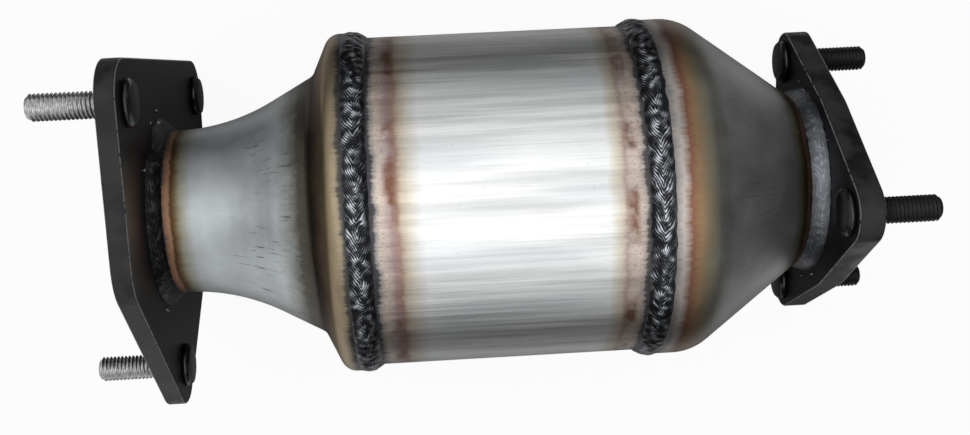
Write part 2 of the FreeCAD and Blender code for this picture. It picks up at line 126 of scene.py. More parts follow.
# --- Studs ---
STUD_RADIUS = 5 * MM
SHANK_RADIUS = STUD_RADIUS + 0.2 * MM
HEAD_BEVEL = 1.2 * MM
HEAD_STEPS = 48
THREAD_STEPS = 30
THREAD_POINT = 1.3 * MM
CREST_GAP = 0.04 * MM
# The sweep starts this many pitches inside the plate, and is cut off square nearer its face.
THREAD_LEAD = 1.6
THREAD_ROOT = 0.5 * MM
SHANK_SHORT = 0.1 * MM
# Where one pitch of thread leaves the root, reaches the crest and comes back, in pitches.
THREAD_FLANK = ((0.0, "root"), (0.10, "root"), (0.44, "crest"),
                (0.56, "crest"), (0.90, "root"), (1.0, "root"))

# --- Weld spatter: the first ball is a large one on the weld's upper side ---
SPATTER_SEED = 11
SPATTER_SKIN = (0.6, 1.2, 3.0)
FIRST_BALL = {"turn": 0.286, "distance": 36 * MM, "radius": 1.8 * MM}
BALL_DISTANCES = (37.5, 41.0)
BALL_RADII = (0.4, 0.9)
BALL_LIFT = 0.3

# --- Stage ---
FLOOR_SIDE = 12.0
FLOOR_TONE = (0.85, 0.85, 0.85)
FLOOR_GLOW = 0.93
SKY_LIGHT = 0.35
LAMP_PLACE = (0.0, -0.07, 0.80)
LAMP_TARGET = (0.10, 0, 0)
LAMP_SIZE = (1.40, 0.88)
LAMP_POWER = 5.7
CARD_TONE = (0.2, 0.2, 0.2)
SENSOR_WIDTH = 36.0
LENS = 45.16
CAMERA_PLACE = (0.11215, -0.00077, 0.48785)
CAMERA_TURNS = (("Y", -0.0435), ("X", -0.0165), ("Z", -0.0524))

# --- Colours of marks, scale and wear, painted shade and painted highlight ---
DRAWN_SHADE = (0.36, 0.38, 0.40)
BROWN_SCALE = (0.11, 0.045, 0.022)
SOOT = (0.05, 0.045, 0.045)
SPECK = (0.12, 0.11, 0.10)
SCRATCH = (0.05, 0.055, 0.055)
TORN_EDGE = (0.038, 0.038, 0.040)
BARE_ARRIS_AND_HIGHLIGHT = (0.20, 0.20, 0.195)
PAINTED_CELL_SHADE = (0.02, 0.017, 0.013)
MAT_FIBRE = (0.70, 0.67, 0.61)

# --- Tints by heat, from the weld's edge outwards: share of the tinted width, colour ---
CAN_TINTS = [
    (0.00, (0.07, 0.07, 0.075)), (0.06, (0.09, 0.09, 0.10)), (0.10, (0.38, 0.34, 0.33)),
    (0.19, (0.70, 0.60, 0.50)), (0.30, (0.62, 0.50, 0.46)), (0.41, (0.44, 0.31, 0.30)),
    (0.52, (0.44, 0.29, 0.23)), (0.62, (0.66, 0.56, 0.44)), (0.76, (0.82, 0.76, 0.66)),
    (1.00, (1.0, 1.0, 1.0))]
OUTLET_CAN_TINTS = [
    (0.00, (0.10, 0.095, 0.09)), (0.07, (0.13, 0.12, 0.12)), (0.13, (0.52, 0.44, 0.40)),
    (0.26, (0.72, 0.60, 0.52)), (0.44, (0.70, 0.58, 0.52)), (0.56, (0.54, 0.42, 0.36)),
    (0.68, (0.74, 0.65, 0.54)), (0.84, (0.86, 0.81, 0.70)), (1.00, (1.0, 1.0, 1.0))]
INLET_CONE_TINTS = [
    (0.00, (0.10, 0.09, 0.085)), (0.04, (0.14, 0.12, 0.10)), (0.08, (0.44, 0.34, 0.24)),
    (0.16, (0.58, 0.44, 0.28)), (0.28, (0.49, 0.34, 0.20)), (0.38, (0.30, 0.18, 0.12)),
    (0.46, (0.12, 0.085, 0.065)), (0.66, (0.19, 0.17, 0.14)), (0.80, (0.55, 0.54, 0.50)),
    (1.00, (1.0, 1.0, 1.0))]
# The outlet cone's tints end at 0.64, not white, so all the cone past them is darker: painted
# shade, with some oxide.
OUTLET_CONE_TINTS_AND_SHADE = [
    (0.00, (0.40, 0.36, 0.35)), (0.12, (0.74, 0.64, 0.58)), (0.26, (0.34, 0.15, 0.10)),
    (0.38, (0.46, 0.27, 0.15)), (0.55, (0.40, 0.32, 0.21)), (0.75, (0.40, 0.38, 0.32)),
    (1.00, (0.64, 0.61, 0.59))]
NECK_TINTS = [
    (0.00, (0.14, 0.12, 0.12)), (0.08, (0.48, 0.25, 0.15)), (0.20, (0.64, 0.35, 0.21)),
    (0.29, (0.15, 0.075, 0.035)), (0.42, (0.32, 0.21, 0.11)), (0.62, (0.66, 0.61, 0.46)),
    (1.00, (1.0, 1.0, 1.0))]


# --- Sizes and colours that a user would change ---
class ConverterSizes(bpy.types.PropertyGroup):
    """Sizes of the detail that the solids leave out"""
    ripple_pitch: bpy.props.FloatProperty(
        name="Bead ripple pitch", description="Spacing of the ripples along the collar welds",
        default=1.6 * MM, min=0.5 * MM, unit="LENGTH")
    ripple_height: bpy.props.FloatProperty(
        name="Bead ripple height", description="How far the collar weld ripples stand up",
        default=0.45 * MM, min=0.0, unit="LENGTH")
    bead_crown: bpy.props.FloatProperty(
        name="Bead crown", description="Rise of a collar weld above the line between its toes",
        default=1.15 * MM, min=0.0, unit="LENGTH")
    neck_ripple_pitch: bpy.props.FloatProperty(
        name="Neck weld ripple pitch", description="Spacing of the ripples round each neck weld",
        default=3.4 * MM, min=0.5 * MM, unit="LENGTH")
    thread_pitch: bpy.props.FloatProperty(
        name="Thread pitch", description="Pitch of the stud threads",
        default=1.5 * MM, min=0.5 * MM, unit="LENGTH")
    thread_depth: bpy.props.FloatProperty(
        name="Thread depth", description="Depth of the stud threads",
        default=0.92 * MM, min=0.1 * MM, unit="LENGTH")
    cell_pitch: bpy.props.FloatProperty(
        name="Brick cell pitch", description="Spacing of the square cells through the brick",
        default=1.27 * MM, min=0.5 * MM, unit="LENGTH")
    spatter_count: bpy.props.IntProperty(
        name="Spatter", description="Number of small weld balls round each neck weld",
        default=7, min=0, max=60)


class ConverterFinishes(bpy.types.PropertyGroup):
    """Base colours of the finishes"""
    can_steel: bpy.props.FloatVectorProperty(
        name="Can steel", description="Bright brushed sheet of the can",
        subtype="COLOR", size=3, default=(0.60, 0.61, 0.61), min=0.0, max=1.0)
    cone_steel: bpy.props.FloatVectorProperty(
        name="Cone steel", description="Duller pressed sheet of the cones",
        subtype="COLOR", size=3, default=(0.48, 0.51, 0.52), min=0.0, max=1.0)
    bead_steel: bpy.props.FloatVectorProperty(
        name="Weld steel", description="Grey skin of the weld beads",
        subtype="COLOR", size=3, default=(0.155, 0.165, 0.18), min=0.0, max=1.0)
    paint: bpy.props.FloatVectorProperty(
        name="Flange paint", description="Black paint on plates and stud heads",
        subtype="COLOR", size=3, default=(0.006, 0.006, 0.007), min=0.0, max=1.0)
    zinc: bpy.props.FloatVectorProperty(
        name="Zinc", description="Plating of the inlet studs",
        subtype="COLOR", size=3, default=(0.44, 0.45, 0.44), min=0.0, max=1.0)
    black_oxide: bpy.props.FloatVectorProperty(
        name="Black oxide", description="Finish of the outlet studs",
        subtype="COLOR", size=3, default=(0.015, 0.014, 0.014), min=0.0, max=1.0)
    cordierite: bpy.props.FloatVectorProperty(
        name="Cordierite", description="Ceramic of the brick",
        subtype="COLOR", size=3, default=(0.52, 0.45, 0.34), min=0.0, max=1.0)


def sizes():
    """The scene's own sizes."""
    return bpy.context.scene.converter_sizes


def finishes():
    """The scene's own colours."""
    return bpy.context.scene.converter_finishes


# --- Node helpers ---
def shade(colour, share):
    """The colour made darker or lighter by this share."""
    return tuple(share * c for c in colour)


class Shader:
    """A material's node tree with short calls for the nodes used here."""

    def __init__(self, name):
        self.material = bpy.data.materials.new(name)
        self.material.use_nodes = True
        self.tree = self.material.node_tree
        self.surface = self.tree.nodes["Principled BSDF"]

    def add(self, kind, settings=None, **inputs):
        """New node, with its settings and inputs; an underscore stands for a space."""
        node = self.tree.nodes.new(kind)
        for key, value in (settings or {}).items():
            setattr(node, key, value)
        for key, value in inputs.items():
            self.feed(node.inputs[key.replace("_", " ")], value)
        return node

    def feed(self, socket, value):
        """Link an output to the socket, or set the socket to a number or a colour."""
        if isinstance(value, bpy.types.NodeSocket):
            self.tree.links.new(value, socket)
        elif isinstance(value, (int, float)) or len(value) == len(socket.default_value):
            socket.default_value = value
        else:
            socket.default_value = (*value, 1.0)

    def math(self, operation, *values):
        """One step of arithmetic."""
        node = self.add("ShaderNodeMath", {"operation": operation})
        for socket, value in zip(node.inputs, values):
            self.feed(socket, value)
        return node.outputs[0]

    def place(self):
        """Object coordinates, whole and as x, y and z."""
        point = self.add("ShaderNodeTexCoord").outputs["Object"]
        split = self.add("ShaderNodeSeparateXYZ", Vector=point)
        return point, split.outputs

    def stretch(self, point, scale):
        """Coordinates scaled apart in x, y and z, for a drawn-out grain."""
        mapping = self.add("ShaderNodeMapping", Vector=point)
        mapping.inputs["Scale"].default_value = scale
        return mapping.outputs[0]

    def noise(self, point, scale=1.0, detail=3.0, roughness=0.55):
        """Soft noise, about 0.3 to 0.7; scale is how fine it is per metre."""
        node = self.add("ShaderNodeTexNoise", Vector=point, Scale=scale, Detail=detail,
                        Roughness=roughness)
        return node.outputs["Fac"]

    def between(self, value, low, high):
        """Value carried from low..high to 0..1, held at both ends."""
        node = self.add("ShaderNodeMapRange", Value=value)
        node.inputs["From Min"].default_value = low
        node.inputs["From Max"].default_value = high
        return node.outputs[0]

    def band(self, value, rise, fall):
        """1 from the end of rise to the start of fall, with soft edges."""
        return self.math("MULTIPLY", self.between(value, rise[0], rise[1]),
                         self.between(value, fall[1], fall[0]))

    def away(self, along, edge, direction):
        """Distance from x = edge in the given direction."""
        return self.math("MULTIPLY", self.math("SUBTRACT", along, edge), direction)

    def varied(self, start, value, gain):
        """A number that rises from start by gain times the value."""
        return self.math("ADD", start, self.math("MULTIPLY", value, gain))

    def ramp(self, value, stops):
        """Colour ramp; stops are (position, colour)."""
        node = self.add("ShaderNodeValToRGB", Fac=value)
        elements = node.color_ramp.elements
        while len(elements) < len(stops):
            elements.new(1.0)
        for element, (position, colour) in zip(elements, stops):
            element.position = position
            element.color = (*colour, 1.0)
        return node.outputs[0]

    def mix(self, factor, a, b, blend="MIX"):
        """Colour a carried to b by the factor."""
        node = self.add("ShaderNodeMix", {"data_type": "RGBA", "blend_type": blend})
        self.feed(node.inputs[0], factor)
        self.feed(node.inputs[6], a)
        self.feed(node.inputs[7], b)
        return node.outputs[2]

    def cover(self, colour, mask, strength, tone):
        """A tone laid over the colour where the mask is 1, at this strength."""
        return self.mix(self.math("MULTIPLY", mask, strength), colour, tone)

    def bump(self, height, depth, strength=1.0):
        """Relief of this depth on the surface."""
        node = self.add("ShaderNodeBump", Height=height, Distance=depth, Strength=strength)
        self.feed(self.surface.inputs["Normal"], node.outputs[0])

    def finish(self, **inputs):
        """Set the surface's inputs and return the material."""
        for key, value in inputs.items():
            self.feed(self.surface.inputs[key.replace("_", " ")], value)
        return self.material


def dress(piece, material):
    """Give the piece this material alone."""
    piece.data.materials.clear()
    piece.data.materials.append(material)


# --- Finishes ---
def tinted(shader, point, along, edge, direction, width, stops, wander=2.2 * MM):
    """Heat tint that starts at x = edge and runs width in the given direction."""
    ragged = shader.noise(point, scale=95.0, detail=4.0, roughness=0.6)
    drawn = shader.noise(shader.stretch(point, (25.0, 700.0, 700.0)), roughness=0.6)
    both = shader.math("ADD", ragged, shader.math("MULTIPLY", drawn, 0.7))
    shift = shader.math("MULTIPLY", shader.math("SUBTRACT", both, 0.85), 2 * wander)
    away = shader.away(along, edge, direction)
    share = shader.math("DIVIDE", shader.math("ADD", away, shift), width)
    return shader.ramp(share, stops)


def scale_beside(shader, colour, point, along, edge, direction, middle):
    """Brown patches in a band round the can, and soot that thins out from the weld."""
    away = shader.away(along, edge, direction)
    band = shader.band(away, rise=(middle - 3 * MM, middle - MM),
                       fall=(middle + MM, middle + 3.4 * MM))
    patch = shader.between(shader.noise(point, scale=48.0, detail=4.0, roughness=0.65),
                           0.48, 0.60)
    colour = shader.cover(colour, shader.math("MULTIPLY", band, patch), 0.85, BROWN_SCALE)
    grit = shader.noise(point, scale=1500.0, detail=2.0, roughness=0.5)
    soot = shader.math("MULTIPLY", shader.between(away, 11 * MM, 0.0),
                       shader.between(grit, 0.56, 0.64))
    return shader.cover(colour, soot, 0.55, SOOT)


def can_finish():
    """Brushed sheet: streaks along the can, heat tints beside both collar welds."""
    shader = Shader("can brushed steel")
    point, (along, _, _) = shader.place()
    steel = finishes().can_steel
    fine = shader.noise(shader.stretch(point, (14.0, 520.0, 520.0)), detail=5.0, roughness=0.65)
    broad = shader.noise(shader.stretch(point, (9.0, 110.0, 110.0)), roughness=0.5)
    streaks = shader.math("MULTIPLY", fine, broad)
    colour = shader.ramp(streaks, [(0.12, shade(steel, 0.62)), (0.32, shade(steel, 1.0))])
    wide = shader.noise(shader.stretch(point, (7.0, 55.0, 55.0)), detail=2.0, roughness=0.5)
    colour = shader.cover(colour, shader.between(wide, 0.52, 0.64), 0.45, DRAWN_SHADE)
    inlet = tinted(shader, point, along, INLET_BEAD[1], 1, 19 * MM, CAN_TINTS)
    outlet = tinted(shader, point, along, OUTLET_BEAD[0], -1, 14.5 * MM, OUTLET_CAN_TINTS)
    colour = shader.mix(1.0, shader.mix(1.0, colour, inlet, "MULTIPLY"), outlet, "MULTIPLY")
    colour = scale_beside(shader, colour, point, along, INLET_BEAD[1], 1, 7.6 * MM)
    colour = scale_beside(shader, colour, point, along, OUTLET_BEAD[0], -1, 6 * MM)
    specks = shader.noise(point, scale=900.0, detail=2.0, roughness=0.5)
    colour = shader.cover(colour, shader.between(specks, 0.70, 0.78), 0.45, SPECK)
    shader.bump(fine, depth=0.18 * MM, strength=0.5)
    return shader.finish(Base_Color=colour, Roughness=shader.varied(0.34, fine, 0.22),
                         Metallic=1.0)


def cone_finish(name, collar, neck, direction, drawn):
    """Pressed sheet: satin skin with draw marks, tints beside its two welds.

    collar is the edge, width and tints beside the can, neck the edge and width beside the
    plate, direction the way from collar to neck, and drawn how dark the draw marks are."""
    shader = Shader(name)
    point, (along, across, up) = shader.place()
    steel = finishes().cone_steel
    skin = shader.noise(point, scale=60.0, detail=5.0, roughness=0.6)
    # The marks run from neck to collar, so they follow the turn round the axis.
    turn = shader.math("ARCTAN2", across, up)
    flat = shader.add("ShaderNodeCombineXYZ", X=along, Y=turn).outputs[0]
    marks = shader.noise(shader.stretch(flat, (95.0, 44.0, 1.0)), detail=2.5, roughness=0.6)
    patch = shader.noise(point, scale=38.0, detail=2.0, roughness=0.5)
    colour = shader.ramp(skin, [(0.30, shade(steel, 0.74)), (0.70, shade(steel, 1.0))])
    collar_edge, collar_width, collar_tints = collar
    neck_edge, neck_width = neck
    zone = shader.band(shader.away(along, collar_edge, direction),
                       rise=(14 * MM, 20 * MM), fall=(38 * MM, 50 * MM))
    scratch = shader.math("MULTIPLY",
                          shader.math("MULTIPLY", zone, shader.between(patch, 0.38, 0.52)),
                          shader.between(marks, 0.61, 0.66))
    colour = shader.cover(colour, scratch, drawn, SCRATCH)
    # The outlet cone's collar tints also darken the rest of that cone: painted shade.
    at_collar = tinted(shader, point, along, collar_edge, direction, collar_width, collar_tints)
    at_neck = tinted(shader, point, along, neck_edge, -direction, neck_width, NECK_TINTS,
                     wander=1.2 * MM)
    colour = shader.mix(1.0, colour, at_collar, "MULTIPLY")
    colour = shader.mix(1.0, colour, at_neck, "MULTIPLY")
    relief = shader.math("ADD", skin, shader.math("MULTIPLY", marks, 0.4))
    shader.bump(relief, depth=0.15 * MM, strength=0.35)
    return shader.finish(Base_Color=colour, Roughness=shader.varied(0.38, skin, 0.14),
                         Metallic=1.0)


def bead_finish(name, shares):
    """Painted shade in the troughs, painted highlights on the ridges; shares of the weld steel's
    colour.
    """
    shader = Shader(name)
    point, _ = shader.place()
    height = shader.add("ShaderNodeAttribute", {"attribute_name": "ridge"}).outputs["Fac"]
    blotch = shader.noise(point, scale=330.0, detail=4.0, roughness=0.65)
    lift = shader.math("ADD", height, shader.math("SUBTRACT", blotch, 0.5))
    shaded_tones = [shade(finishes().bead_steel, share) for share in shares]
    colour = shader.ramp(lift, list(zip((0.25, 0.60, 0.90), shaded_tones)))
    grain = shader.noise(point, scale=900.0, roughness=0.6)
    shader.bump(grain, depth=0.12 * MM, strength=0.5)
    return shader.finish(Base_Color=colour, Roughness=shader.varied(0.26, blotch, 0.25),
                         Metallic=0.9)


def paint_finish():
    """Black paint on sheared plate: rough torn band on the edges, arrises rubbed bare plus a
    painted highlight.
    """
    shader = Shader("flange black paint")
    point, _ = shader.place()
    normal = shader.add("ShaderNodeNewGeometry").outputs["Normal"]
    turned = shader.add("ShaderNodeSeparateXYZ", Vector=normal)
    # 1 on the plate's flat faces, 0 on its sheared edges.
    facing = shader.math("ABSOLUTE", turned.outputs[0])
    grain = shader.noise(point, scale=420.0, detail=4.0, roughness=0.65)
    blotch = shader.noise(point, scale=70.0)
    torn = shader.math("MULTIPLY", shader.between(facing, 0.25, 0.05),
                       shader.between(blotch, 0.40, 0.58))
    colour = shader.cover(tuple(finishes().paint), torn, 0.6, TORN_EDGE)
    # The rounded arrises turn lighter grey: paint rubbed bare, and a painted highlight.
    arris = shader.band(facing, rise=(0.35, 0.7), fall=(0.8, 0.97))
    worn_and_highlight = shader.math("MULTIPLY", arris, shader.between(grain, 0.36, 0.50))
    colour = shader.cover(colour, worn_and_highlight, 0.8, BARE_ARRIS_AND_HIGHLIGHT)
    shader.bump(grain, depth=0.25 * MM, strength=0.35)
    return shader.finish(Base_Color=colour, Roughness=shader.varied(0.30, torn, 0.25),
                         Specular_IOR_Level=0.15)


def stud_finish(name, colour, metallic, roughness, gloss=0.5):
    """Plated, blackened or painted steel with some grime."""
    shader = Shader(name)
    point, _ = shader.place()
    grime = shader.noise(point, scale=600.0, roughness=0.6)
    tone = shader.ramp(grime, [(0.35, shade(colour, 0.55)), (0.65, shade(colour, 1.0))])
    shader.bump(grime, depth=0.08 * MM, strength=0.4)
    return shader.finish(Base_Color=tone, Roughness=roughness, Metallic=metallic,
                         Specular_IOR_Level=gloss)


def brick_finish():
    """Ceramic with rows of square cells seen from each end; the near-black cells are painted
    shade.
    """
    shader = Shader("ceramic brick")
    _, (_, across, up) = shader.place()
    walls = []
    for axis in (across, up):
        cell = shader.math("FRACT", shader.math("DIVIDE", axis, sizes().cell_pitch))
        off = shader.math("ABSOLUTE", shader.math("SUBTRACT", cell, 0.5))
        walls.append(shader.math("GREATER_THAN", off, 0.40))
    wall = shader.math("MAXIMUM", *walls)
    # Open cells near-black: painted shade down the channels; the walls keep the ceramic's colour.
    colour = shader.mix(wall, PAINTED_CELL_SHADE, tuple(finishes().cordierite))
    shader.bump(wall, depth=0.5 * MM, strength=0.8)
    return shader.finish(Base_Color=colour, Roughness=0.85)


def mat_finish():
    """Pale felted fibre."""
    shader = Shader("support mat")
    point, _ = shader.place()
    fibres = shader.noise(point, scale=1200.0, detail=4.0, roughness=0.7)
    shader.bump(fibres, depth=0.3 * MM, strength=0.6)
    return shader.finish(Base_Color=MAT_FIBRE, Roughness=0.95)


# --- Mesh helpers ---
def spun(profile, steps, bm):
    """Full turn of a chain of (x, radius) points about the X axis, added to the bmesh."""
    chain = [bm.verts.new((x, 0.0, r)) for x, r in profile]
    edges = [bm.edges.new(pair) for pair in zip(chain, chain[1:])]
    bmesh.ops.spin(bm, geom=chain + edges, axis=(1, 0, 0), cent=(0, 0, 0), angle=FULL_TURN,
                   steps=steps, use_merge=True)
    bmesh.ops.remove_doubles(bm, verts=bm.verts, dist=SPIN_MERGE)


def close_holes(bm):
    """Fill every open rim with one face."""
    bmesh.ops.holes_fill(bm, edges=[e for e in bm.edges if e.is_boundary], sides=0)


def to_object(bm, name, materials):
    """Turn the bmesh into an object of the scene, at the origin."""
    mesh = bpy.data.meshes.new(name)
    for material in materials:
        mesh.materials.append(material)
    bm.to_mesh(mesh)
    bm.free()
    thing = bpy.data.objects.new(name, mesh)
    bpy.context.scene.collection.objects.link(thing)
    return thing


def keep(bm, name, slot, *materials):
    """Turn the bmesh into a smooth piece of the object, riding on its one body."""
    bmesh.ops.recalc_face_normals(bm, faces=bm.faces)
    piece = to_object(bm, name, materials)
    for face in piece.data.polygons:
        face.use_smooth = True
    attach(piece, "root")
    return piece


def saw_wave(phase):
    """0 to 1 and back over each whole phase."""
    return 1 - abs(2 * (phase % 1.0) - 1)


# crown is the bead's rise between its toes, pitch and height are those of its ripples, and
# slant is how many ripples each one trails from toe to middle, as a V.
Ripples = namedtuple("Ripples", "crown pitch height slant")


def bead_profile(start, end, crown, under):
    """Chain of (x, radius) points over a crowned bead, closed underneath."""
    run, rise = end[0] - start[0], end[1] - start[1]
    length = math.hypot(run, rise)
    profile = []
    for i in range(BEAD_COLUMNS + 1):
        t = i / BEAD_COLUMNS
        bulge = crown * (1 - (2 * t - 1) ** 2)
        profile.append((start[0] + run * t - rise / length * bulge,
                        start[1] + rise * t + run / length * bulge))
    return profile + [(end[0], under), (start[0], under), profile[0]]


def rippled_ring(name, start, end, ripples, seed, under, skin):
    """Weld bead round the X axis between two toes given as (x, radius)."""
    run, rise = end[0] - start[0], end[1] - start[1]
    length = math.hypot(run, rise)
    outward = Vector((-rise / length, run / length))
    count = round(FULL_TURN * (start[1] + end[1]) / 2 / ripples.pitch)
    bm = bmesh.new()
    spun(bead_profile(start, end, ripples.crown, under), count * STEPS_PER_RIPPLE, bm)
    ridge = bm.verts.layers.float.new("ridge")
    for vert in bm.verts:
        x, y, z = vert.co
        radius = math.hypot(y, z)
        if radius < under + NEAR:
            continue
        # Laid by hand: each ripple wanders, lumps lift it, and the toes fray.
        across = 2 * (x - start[0]) / run - 1
        turn = math.atan2(y, z) / FULL_TURN
        wobble = noise.noise(Vector((turn * WOBBLES_PER_TURN, across, seed)))
        lump = noise.noise(Vector((y, z, x)) * LUMPS_PER_METRE + Vector((seed, 0, 0)))
        fray = noise.noise(Vector((turn * FRAYS_PER_TURN, seed, 3.0)))
        saw = saw_wave(turn * count - ripples.slant * abs(across) + 1.6 * wobble + 0.7 * lump)
        # The ripples die out at the toes.
        hold = max(0.0, 1 - across ** 2)
        lift = hold * ripples.height * ((saw - 0.5) * (0.6 + 0.8 * abs(wobble)) + 1.1 * lump)
        radius += lift * outward.y
        vert.co.x = x + lift * outward.x + FRAY * fray * (1 - hold)
        vert.co.y = radius * math.sin(turn * FULL_TURN)
        vert.co.z = radius * math.cos(turn * FULL_TURN)
        toe = max(0.0, 4 * abs(across) - 3)
        # The ridge value darkens troughs and lightens crests and lumps: painted shade and painted
        # highlights; the toes get a flat middle tone.
        vert[ridge] = (1 - toe) * (0.8 * saw * (0.5 + hold) - 0.15 + 0.7 * lump) + 0.55 * toe
    return keep(bm, name, "weld", bead_finish(name + " skin", skin))


def thread(bm, face, reach):
    """Helical thread along X from just inside the plate's face out to a pointed tip."""
    pitch = sizes().thread_pitch
    crest = STUD_RADIUS - CREST_GAP
    radii = {"root": STUD_RADIUS - sizes().thread_depth, "crest": crest}
    turns = math.ceil(reach / pitch) + 3
    start = face - THREAD_LEAD * pitch
    # One pitch of flank, swept along the helix and cut square at both ends.
    chain = [bm.verts.new((start + x * pitch, 0.0, radii[level])) for x, level in THREAD_FLANK]
    edges = [bm.edges.new(pair) for pair in zip(chain, chain[1:])]
    bmesh.ops.spin(bm, geom=chain + edges, axis=(1, 0, 0), cent=(0, 0, 0),
                   dvec=(pitch / THREAD_STEPS, 0, 0), angle=FULL_TURN * turns,
                   steps=THREAD_STEPS * turns)
    tip = face + reach
    for x, facing in ((face - THREAD_ROOT, -1), (tip, 1)):
        bmesh.ops.bisect_plane(bm, geom=bm.verts[:] + bm.edges[:] + bm.faces[:],
                               plane_co=(x, 0, 0), plane_no=(facing, 0, 0), clear_outer=True)
    bmesh.ops.remove_doubles(bm, verts=bm.verts, dist=NEAR)
    for vert in bm.verts:
        radius = math.hypot(vert.co.y, vert.co.z)
        limit = crest - max(0.0, vert.co.x - (tip - THREAD_POINT))
        if radius > limit:
            vert.co.y *= limit / radius
            vert.co.z *= limit / radius
    close_holes(bm)


def head_profile(head_radius, height, face):
    """Bevelled head and shank as (x, radius), from the head's top to inside the plate."""
    shank_end = face - SHANK_SHORT
    return [(0.0, 0.0), (0.0, head_radius - HEAD_BEVEL - 0.5 * MM),
            (0.12 * MM, head_radius - HEAD_BEVEL), (HEAD_BEVEL, head_radius - 0.15 * MM),
            (HEAD_BEVEL + 0.2 * MM, head_radius), (height, head_radius),
            (height, SHANK_RADIUS), (shank_end, SHANK_RADIUS), (shank_end, 0.0)]


# --- Operators ---
class CONVERTER_OT_can(bpy.types.Operator):
    """Finish the can and the mat and brick inside it"""
    bl_idname = "converter.can"
    bl_label = "Can, mat and brick"
    bl_options = {"REGISTER", "UNDO"}

    def execute(self, context):
        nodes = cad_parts
        dress(nodes["can_shell"], can_finish())
        dress(nodes["ceramic_brick"], brick_finish())
        dress(nodes["support_mat"], mat_finish())
        return {"FINISHED"}


class CONVERTER_OT_cones(bpy.types.Operator):
    """Finish the inlet and outlet cones"""
    bl_idname = "converter.cones"
    bl_label = "Cones"
    bl_options = {"REGISTER", "UNDO"}

    def execute(self, context):
        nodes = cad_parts
        dress(nodes["inlet_cone"], cone_finish(
            "inlet cone steel", (INLET_BEAD[0], 26 * MM, INLET_CONE_TINTS),
            (INLET_NECK_WELD[1], 11 * MM), direction=-1, drawn=0.85))
        dress(nodes["outlet_cone"], cone_finish(
            "outlet cone steel", (OUTLET_BEAD[1], 22 * MM, OUTLET_CONE_TINTS_AND_SHADE),
            (OUTLET_NECK_WELD[0], 8 * MM), direction=1, drawn=0.25))
        return {"FINISHED"}


class CONVERTER_OT_collar_welds(bpy.types.Operator):
    """Lay the two rippled beads between the cones' collars and the can"""
    bl_idname = "converter.collar_welds"
    bl_label = "Collar welds"
    bl_options = {"REGISTER", "UNDO"}

    def execute(self, context):
        s = sizes()
        ripples = Ripples(s.bead_crown, s.ripple_pitch, s.ripple_height, COLLAR_SLANT)
        under = CAN_RADIUS - COLLAR_SINK
        beads = (
            ("inlet_collar_weld", (INLET_BEAD[0], COLLAR_RADIUS),
             (INLET_BEAD[1], CAN_RADIUS), 0.0),
            ("outlet_collar_weld", (OUTLET_BEAD[0], CAN_RADIUS),
             (OUTLET_BEAD[1], COLLAR_RADIUS), 7.0),
        )
        for node, start, end, seed in beads:
            bead = rippled_ring(node + "_bead", start, end, ripples, seed, under, COLLAR_SHADED_SKIN)
            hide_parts(node)
        return {"FINISHED"}


class CONVERTER_OT_neck_welds(bpy.types.Operator):
    """Lay the two fillet welds between the necks and the flanges"""
    bl_idname = "converter.neck_welds"
    bl_label = "Neck welds"
    bl_options = {"REGISTER", "UNDO"}

    def execute(self, context):
        ripples = Ripples(NECK_CROWN, sizes().neck_ripple_pitch, NECK_RIPPLE_HEIGHT, NECK_SLANT)
        under = NECK_RADIUS - NECK_SINK
        beads = (
            ("inlet_neck_weld", (INLET_NECK_WELD[0], NECK_WELD_RADIUS),
             (INLET_NECK_WELD[1], NECK_RADIUS), 35.0, INLET_NECK_SHADED_SKIN),
            ("outlet_neck_weld", (OUTLET_NECK_WELD[0], NECK_RADIUS + TAPER_RISE),
             (OUTLET_NECK_WELD[1], NECK_WELD_RADIUS), 42.0, OUTLET_NECK_SHADED_SKIN),
        )
        for node, start, end, seed, skin in beads:
            bead = rippled_ring(node + "_bead", start, end, ripples, seed, under, skin)
            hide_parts(node)
        return {"FINISHED"}


class CONVERTER_OT_flanges(bpy.types.Operator):
    """Paint both flange plates"""
    bl_idname = "converter.flanges"
    bl_label = "Flanges"
    bl_options = {"REGISTER", "UNDO"}

    def execute(self, context):
        paint = paint_finish()
        for node in ("inlet_flange", "outlet_flange"):
            dress(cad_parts[node], paint)
        return {"FINISHED"}


class CONVERTER_OT_studs(bpy.types.Operator):
    """Cut real threads on the six studs and paint their heads"""
    bl_idname = "converter.studs"
    bl_label = "Studs"
    bl_options = {"REGISTER", "UNDO"}

    def execute(self, context):
        f = finishes()
        head = stud_finish("stud head paint", f.paint, 0.0, 0.20, 0.35)
        threads = {
            "inlet": stud_finish("zinc thread", f.zinc, 1.0, 0.32),
            "outlet": stud_finish("black oxide thread", f.black_oxide, 0.2, 0.40, 0.15),
        }
        slots = {"inlet": "zinc_stud", "outlet": "black_stud"}
        for end, steel in threads.items():
            for number in (1, 2, 3):
                node = f"{end}_stud_{number}"
                piece = keep(self.stud(node, end), node + "_threaded", slots[end], steel, head)
                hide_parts(node)
        return {"FINISHED"}

    @staticmethod
    def stud(node, end):
        """Headed stud, made along X from its head's top and put in place on its flange."""
        low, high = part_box(node)
        centre = (low + high) / 2
        if end == "inlet":
            (seat, back), tip, head_top, turn = INLET_PLATE, low.x, high.x, math.pi
        else:
            (back, seat), tip, head_top, turn = OUTLET_PLATE, high.x, low.x, 0.0
        height = abs(back - head_top)
        plate = abs(seat - back)
        bm = bmesh.new()
        thread(bm, height + plate, abs(tip - seat))
        spun(head_profile((high.y - low.y) / 2, height, height + plate), HEAD_STEPS, bm)
        # The thread keeps the stud's steel; the head and the shank's start are painted.
        for face in bm.faces:
            face.material_index = int(face.calc_center_median().x < height + 0.5 * plate)
        bmesh.ops.rotate(bm, verts=bm.verts, cent=(0, 0, 0),
                         matrix=Matrix.Rotation(turn, 3, "Z"))
        bmesh.ops.translate(bm, verts=bm.verts, vec=(head_top, centre.y, centre.z))
        return bm


